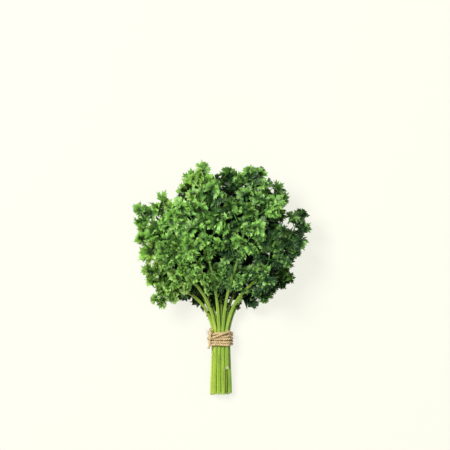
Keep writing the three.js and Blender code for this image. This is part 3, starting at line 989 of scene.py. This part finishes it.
def coil_path(rng):
    """The twine's turns: the loop carried along the stems, drawn together to the left on top."""
    loop = twine_loop()
    turns = np.concatenate([np.tile(loop, (TWINE_TURNS, 1)), loop[:1]])
    share = np.arange(len(turns)) / len(loop)
    x, z = turns.T
    right = x / BUNDLE_HALF * np.clip((z - TIE_AXIS) / ROW_PITCH, 0, 1)
    y = TWINE_STEP * (share - TWINE_TURNS / 2) * (TURNS_DRAWN + TURNS_SPREAD * right)
    middle = np.array([0, TIE_AXIS])
    x, z = (middle + (turns - middle) * (1 + wobble(rng, share, TURN_SLACK))[:, None]).T
    return np.stack([x, y + wobble(rng, share, TURN_WANDER), np.maximum(z, TWINE_RADIUS)], -1)


def over_turns(x, y, lift):
    """A point over the turns: level between the shoulders, and round an arc beyond them."""
    past = max(abs(x) - SHOULDER, 0)
    return [x, y, TIE_AXIS + ROW_PITCH + math.sqrt((TWINE_OFFSET + lift) ** 2 - past**2)]


def twine_paths(rng):
    """The twine's turns, a strand across them, its two ends, and the ring of its knot."""
    coil = coil_path(rng)
    out = np.array([-math.sqrt(0.75), 0, 0.5])
    round_way = np.array([0.5, 0, math.sqrt(0.75)])
    knot = twine_loop()[0] @ [[1, 0, 0], [0, 0, 1]] + KNOT_PLACE * out

    def near(outward, along, rounding):
        return knot + outward * out + rounding * round_way + along * ALONG_STEMS

    strand = smooth_path([
        over_turns(6.3, 5.2, 0),
        over_turns(5.2, 5.0, 1.2),
        over_turns(2.5, 4.1, 1.5),
        over_turns(-1.0, 2.6, 1.5),
        over_turns(-4.4, 1.2, 1.3),
        over_turns(-6.2, 0.4, 0.2),
    ], TWINE_RING)
    ends = []
    for way, start in ((-1, coil[0]), (1, coil[-1])):
        ends.append(smooth_path([
            start,
            near(-0.2, 0.3 * BAND * way, 0.7 * way),
            near(0.3, 0, -0.2 * way),
            near(0, -0.36 * BAND * way, -0.8 * way),
            near(0.7, -0.58 * BAND * way, -1.5 * way),
        ], TWINE_RING))
    angle = np.linspace(0, 2 * math.pi, KNOT_POINTS)
    ring = knot + KNOT_RADIUS * np.stack([np.cos(angle), 0 * angle, np.sin(angle)], -1)
    return even_path(coil, TWINE_RING), strand, ends, ring


def loose_fibres(rng, coil):
    """Fibres that stand off the turns: from a point of the coil outwards, along it, bent to a side."""
    picked = rng.integers(2, len(coil) - 2, FIBRES)
    onward = unit(coil[picked + 1] - coil[picked - 1])
    out = unit((coil[picked] - [0, 0, TIE_AXIS]) * [1, 0, 1])
    start = coil[picked] + FIBRE_FOOT * out
    lean = rng.uniform(-1, 1, (FIBRES, 3)) * FIBRE_LEAN
    way = unit(FIBRE_OUT * out + rng.choice([-1, 1], (FIBRES, 1)) * onward + lean)
    bend = rng.uniform(-FIBRE_BEND, FIBRE_BEND, (FIBRES, 1, 3))
    run = rng.uniform(*FIBRE_LENGTH, (FIBRES, 1)) * np.linspace(0, 1, len(FIBRE_RADII))
    paths = start[:, None] + run[..., None] * way[:, None] + run[..., None] ** 2 * bend
    paths[..., 2] = np.maximum(paths[..., 2], 2 * FIBRE_RADII[0])
    radii = np.broadcast_to(FIBRE_RADII, run.shape)
    return tubes(paths, radii, FIBRE_SIDES, None, {"depth": np.zeros(run.shape)})


def twine():
    """The twine tie, with its turns, ends, knot and loose fibres."""
    rng = np.random.default_rng(SEED)
    coil, strand, ends, ring = twine_paths(rng)
    made = [rope(coil, ALONG_STEMS, TWINE_RADIUS), rope(ring, ALONG_STEMS, KNOT_TWINE)]
    made += [rope(path, UP, TWINE_RADIUS) for path in (strand, *ends)]
    made.append(loose_fibres(rng, coil))
    return join(made)


# Materials


class Shade:
    """A node's output in a material, for use in Python expressions."""

    def __init__(self, tree, socket=None):
        self.tree = tree
        self.socket = socket

    def node(self, kind, settings=None, inputs=None, output=0):
        """Adds a node: its settings first, then the values or links of its sockets."""
        made = self.tree.nodes.new(kind)
        for key, value in (settings or {}).items():
            setattr(made, key, value)
        for key, value in (inputs or {}).items():
            if isinstance(value, Shade):
                self.tree.links.new(value.socket, made.inputs[key])
            else:
                made.inputs[key].default_value = value
        return Shade(self.tree, made.outputs[output] if len(made.outputs) else None)

    def maths(self, operation, first, second=0.0):
        """A Math node."""
        return self.node("ShaderNodeMath", {"operation": operation}, {0: first, 1: second})

    def __add__(self, other):
        return self.maths("ADD", self, other)

    def __sub__(self, other):
        return self.maths("SUBTRACT", self, other)

    def __rsub__(self, other):
        return self.maths("SUBTRACT", other, self)

    def __mul__(self, other):
        return self.maths("MULTIPLY", self, other)

    __radd__ = __add__
    __rmul__ = __mul__

    def limited(self):
        """The value between 0 and 1."""
        return self.node("ShaderNodeClamp", None, {"Value": self})

    def between(self, low, high):
        """0 at low, 1 at high, smooth between."""
        settings = {"interpolation_type": "SMOOTHSTEP"}
        inputs = {"Value": self, "From Min": low, "From Max": high}
        return self.node("ShaderNodeMapRange", settings, inputs)

    def mix(self, low, high):
        """A colour from low to high by this share."""
        settings = {"data_type": "RGBA"}
        return self.node("ShaderNodeMix", settings, {0: self, 6: low, 7: high}, 2)

    def value(self, name):
        """A value stored at the mesh's points."""
        return self.node("ShaderNodeAttribute", {"attribute_name": name}, None, "Fac")

    def place(self, kind):
        """The mesh's coordinates of one kind."""
        return self.node("ShaderNodeTexCoord", None, None, kind)

    def pair(self, kind):
        """The first two parts of the mesh's coordinates of one kind."""
        parts = self.node("ShaderNodeSeparateXYZ", None, {0: self.place(kind)}).socket.node
        return Shade(self.tree, parts.outputs["X"]), Shade(self.tree, parts.outputs["Y"])

    def noise(self, scale, detail=2.0, vector=None):
        """Noise on the part's own coordinates, or on a vector."""
        inputs = {"Vector": vector or self.place("Object"), "Scale": scale, "Detail": detail}
        return self.node("ShaderNodeTexNoise", None, inputs, "Fac")

    def relief(self, height, strength, distance):
        """The normal of a surface raised by a height, up to a distance in metres."""
        inputs = {"Strength": strength, "Distance": distance, "Height": height}
        return self.node("ShaderNodeBump", None, inputs)


def colour(red, green, blue):
    """A colour from its sRGB values of 0 to 255, as linear light."""
    share = np.array([red, green, blue]) / 255
    linear = np.where(share <= 0.04045, share / 12.92, ((share + 0.055) / 1.055) ** 2.4)
    return (*linear.tolist(), 1.0)


def new_material(name):
    """An empty node material, and its start for expressions."""
    material = bpy.data.materials.new(name)
    material.use_nodes = True
    material.node_tree.nodes.clear()
    return material, Shade(material.node_tree)


def finish_surface(start, base, roughness, normal, constants):
    """A Principled surface with the inputs that vary, and constants set on its own sockets."""
    inputs = {"Base Color": base, "Roughness": roughness, "Normal": normal, **constants}
    shader = start.node("ShaderNodeBsdfPrincipled", None, inputs)
    start.node("ShaderNodeOutputMaterial", None, {"Surface": shader})


def leaf_finish():
    """Fresh parsley leaf: green by fan and pinna, with a painted highlight at the edges, a vein in each
    lobe and painted shade at each fan's foot.

    It is yellower where it is riper, brighter and yellower with painted light on the left, paler
    underneath, and darker with painted shade deep in the head.
    """
    material, start = new_material("parsley_leaf")
    tone, ripe_and_lit, under, inner_shade = (start.value(name) for name in ("tone", "ripe_and_lit", "under", "inner_shade"))
    across, out = start.pair("UV")
    patch = start.noise(45.0, 2.0)
    speckle = start.noise(900.0, 3.0)
    first, second = LOBE_VEINS
    lobes = (across - first) * (1 / (second - first)) + 0.5
    to_vein = start.maths("ABSOLUTE", start.maths("FRACT", lobes) - 0.5)
    vein = (1 - to_vein.between(0.02, 0.12)) * (1 - out * 0.6)
    # Painted light and shade: brighter with the painted light on the left, darker with the painted shade
    # deep in the head.
    light = tone.between(0.05, 0.95) * 0.9 + patch * 1.2 + ripe_and_lit * 1.05 - 0.95 - inner_shade * 0.9
    green = light.limited().mix(colour(8, 56, 12), colour(126, 188, 70))
    # Yellower where riper, which also carries the painted light on the left.
    green = (ripe_and_lit.between(0.8, 1.0) * tone * 0.6).mix(green, colour(158, 186, 70))
    # Painted highlight on the outer edges of the fans, stronger on the left with the painted light.
    pale = out.between(0.45, 1.0) * tone.between(0.4, 1.0) * (0.3 + ripe_and_lit * 0.45)
    green = pale.mix(green, colour(170, 206, 126))
    green = (vein * 0.35).mix(green, colour(136, 182, 100))
    green = (speckle.between(0.45, 0.75) * 0.25).mix(green, colour(32, 98, 32))
    green = (under * 0.25).mix(green, colour(124, 172, 104))
    # Painted shade at each fan's foot, where the fans crowd together.
    foot = 1 - out.between(0.1, 0.85)
    green = (foot * (0.76 + ripe_and_lit * 0.16)).mix(green, colour(6, 38, 8))
    # Painted shade deep in the head, where the upper leaves shade the lower ones.
    green = (inner_shade.between(0.02, 0.28) * 0.92).mix(green, colour(2, 20, 4))
    relief = start.relief(vein * 0.7 + speckle * 0.5, 0.5, 0.0003)
    finish_surface(start, green, 0.4 + speckle * 0.2, relief, {"Specular IOR Level": 0.4})
    return material


def stem_finish():
    """Parsley stalks: yellow-green at the cut end, greener towards the leaves, ribbed and streaked, with
    painted shade in the rib valleys and the groove on top.
    """
    material, start = new_material("parsley_stalk")
    along, tone, cut = (start.value(name) for name in ("along", "tone", "cut"))
    across, run = start.pair("UV")
    drawn = {"X": across * 9.0, "Y": run * 0.05, "Z": tone * 40.0}
    streak = start.noise(1.0, 3.0, start.node("ShaderNodeCombineXYZ", None, drawn))
    patch = start.noise(60.0, 2.0)
    ridge = start.maths("COSINE", across * (RIBS * math.pi)) * 0.5 + 0.5
    green = tone.limited().mix(colour(194, 216, 72), colour(128, 164, 58))
    green = (along.between(-35.0, 60.0) * 0.7).mix(green, colour(132, 166, 72))
    # Painted shade in the valleys between the ribs and along the groove on the upper side.
    green = ((1 - ridge) * 0.5).mix(green, colour(74, 122, 14))
    green = ((1 - across.between(0.02, 0.13)) * 0.6).mix(green, colour(72, 116, 20))
    green = (streak.between(0.5, 0.72) * 0.6).mix(green, colour(196, 214, 96))
    green = ((1 - streak.between(0.3, 0.46)) * 0.7).mix(green, colour(70, 106, 22))
    green = (patch.between(0.5, 0.8) * 0.3).mix(green, colour(118, 156, 48))
    green = along.between(35.0, 80.0).mix(green, colour(64, 108, 36))
    green = (cut * 0.85).mix(green, colour(214, 224, 158))
    relief = start.relief(streak, 0.5, 0.0002)
    finish_surface(start, green, 0.34 + patch * 0.2, relief, {"Specular IOR Level": 0.45})
    return material


def jute_finish():
    """Jute twine: straw-coloured fibres along the strands, with painted shade in the grooves between
    them.
    """
    material, start = new_material("jute")
    depth = start.value("depth")
    drawn = {"Vector": start.place("UV"), "Scale": (14.0, 0.7, 1.0)}
    fibre = start.noise(1.0, 4.0, start.node("ShaderNodeMapping", None, drawn))
    patch = start.noise(260.0, 2.0)
    straw = fibre.between(0.3, 0.7).mix(colour(174, 146, 98), colour(240, 218, 172))
    straw = (patch.between(0.45, 0.75) * 0.5).mix(straw, colour(204, 176, 124))
    # Painted shade in the grooves between the strands.
    straw = depth.between(0.12, 0.45).mix(straw, colour(112, 84, 46))
    relief = start.relief(fibre, 0.8, 0.0003)
    finish_surface(start, straw, 0.8 + fibre * 0.15, relief, {"Specular IOR Level": 0.25})
    return material


def floor_finish():
    """A pale matt floor with a faint mottle, which glows so that shadows on it stay soft."""
    material, start = new_material("pale_floor")
    base = (start.noise(6.0, 2.0) * 0.3).mix(colour(100, 100, 95), colour(96, 96, 91))
    relief = start.relief(start.noise(300.0, 2.0), 0.05, 0.0002)
    glow = {"Emission Color": colour(254, 254, 242), "Emission Strength": FLOOR_GLOW}
    finish_surface(start, base, 0.85, relief, {**glow, "Specular IOR Level": 0.1})
    return material


# Stage


def set_camera():
    """A camera that looks straight down, with the tie where the picture has it."""
    data = bpy.data.cameras.new("camera")
    data.sensor_width = SENSOR
    data.lens = SENSOR * (CAMERA_HEIGHT - LEAF_HEIGHT) / (PIXEL * PICTURE)
    data.clip_end = 20.0
    camera = bpy.data.objects.new("camera", data)
    scale = PIXEL * (CAMERA_HEIGHT - TIE_AXIS) / (CAMERA_HEIGHT - LEAF_HEIGHT)
    x = TIE_PLACE[0] - (PICTURE_TIE[0] - PICTURE / 2) * scale
    y = TIE_PLACE[1] + (PICTURE_TIE[1] - PICTURE / 2) * scale
    camera.location = (x * MM, y * MM, CAMERA_HEIGHT * MM)
    bpy.context.scene.collection.objects.link(camera)
    bpy.context.scene.camera = camera


def add_light(name, light):
    """A light that looks at the head of the bunch."""
    data = bpy.data.lights.new(name, "AREA")
    data.size = light.size
    data.energy = light.power
    data.color = light.tint
    lamp = bpy.data.objects.new(name, data)
    lamp.location = light.place
    lamp.rotation_euler = (LIGHT_AIM - lamp.location).to_track_quat("-Z", "Y").to_euler()
    bpy.context.scene.collection.objects.link(lamp)


def set_stage():
    """A pale floor, an even pale surround and soft lights, the strongest from the upper left."""
    mesh = bpy.data.meshes.new("floor")
    corners = [(x * FLOOR_HALF, y * FLOOR_HALF, 0) for x, y in ((-1, -1), (1, -1), (1, 1), (-1, 1))]
    mesh.from_pydata(corners, [], [(0, 1, 2, 3)])
    mesh.materials.append(floor_finish())
    floor = bpy.data.objects.new("floor", mesh)
    bpy.context.scene.collection.objects.link(floor)
    floor.visible_diffuse = False

    world = bpy.data.worlds.new("surround")
    world.use_nodes = True
    background = world.node_tree.nodes["Background"]
    background.inputs["Color"].default_value = (1.0, 1.0, 0.97, 1.0)
    background.inputs["Strength"].default_value = SURROUND
    bpy.context.scene.world = world
    bpy.context.scene.view_settings.view_transform = "Standard"
    for name, light in LIGHTS.items():
        add_light(name, light)


# The bunch


def add_stem(stem, stalk, leaf):
    """A leafy stem's two pieces in their materials, which stand for its node."""
    butt, leaf_start, tip, pinnae = grow_stem(stem)
    node = f"leafy_stem_{stem.number:02d}"
    stem_surface = stalks(stem, butt, leaf_start, tip, pinnae)
    add_piece(f"stalks_{stem.number:02d}", stem_surface, stalk, node)
    add_piece(f"leaves_{stem.number:02d}", leaves(stem, tip, pinnae), leaf, node)


def add_bunch():
    """All the leafy stems, numbered from the lowest row's left one, and the twine round them."""
    leaf, stalk, jute = leaf_finish(), stem_finish(), jute_finish()
    places = [(row, place) for row in range(len(ROWS)) for place in range(last_place(row) + 1)]
    for number, (row, place) in enumerate(places, start=1):
        add_stem(Stem(row, place, number), stalk, leaf)
    add_piece("twine", twine(), jute, "twine_tie")


add_bunch()
set_camera()
set_stage()
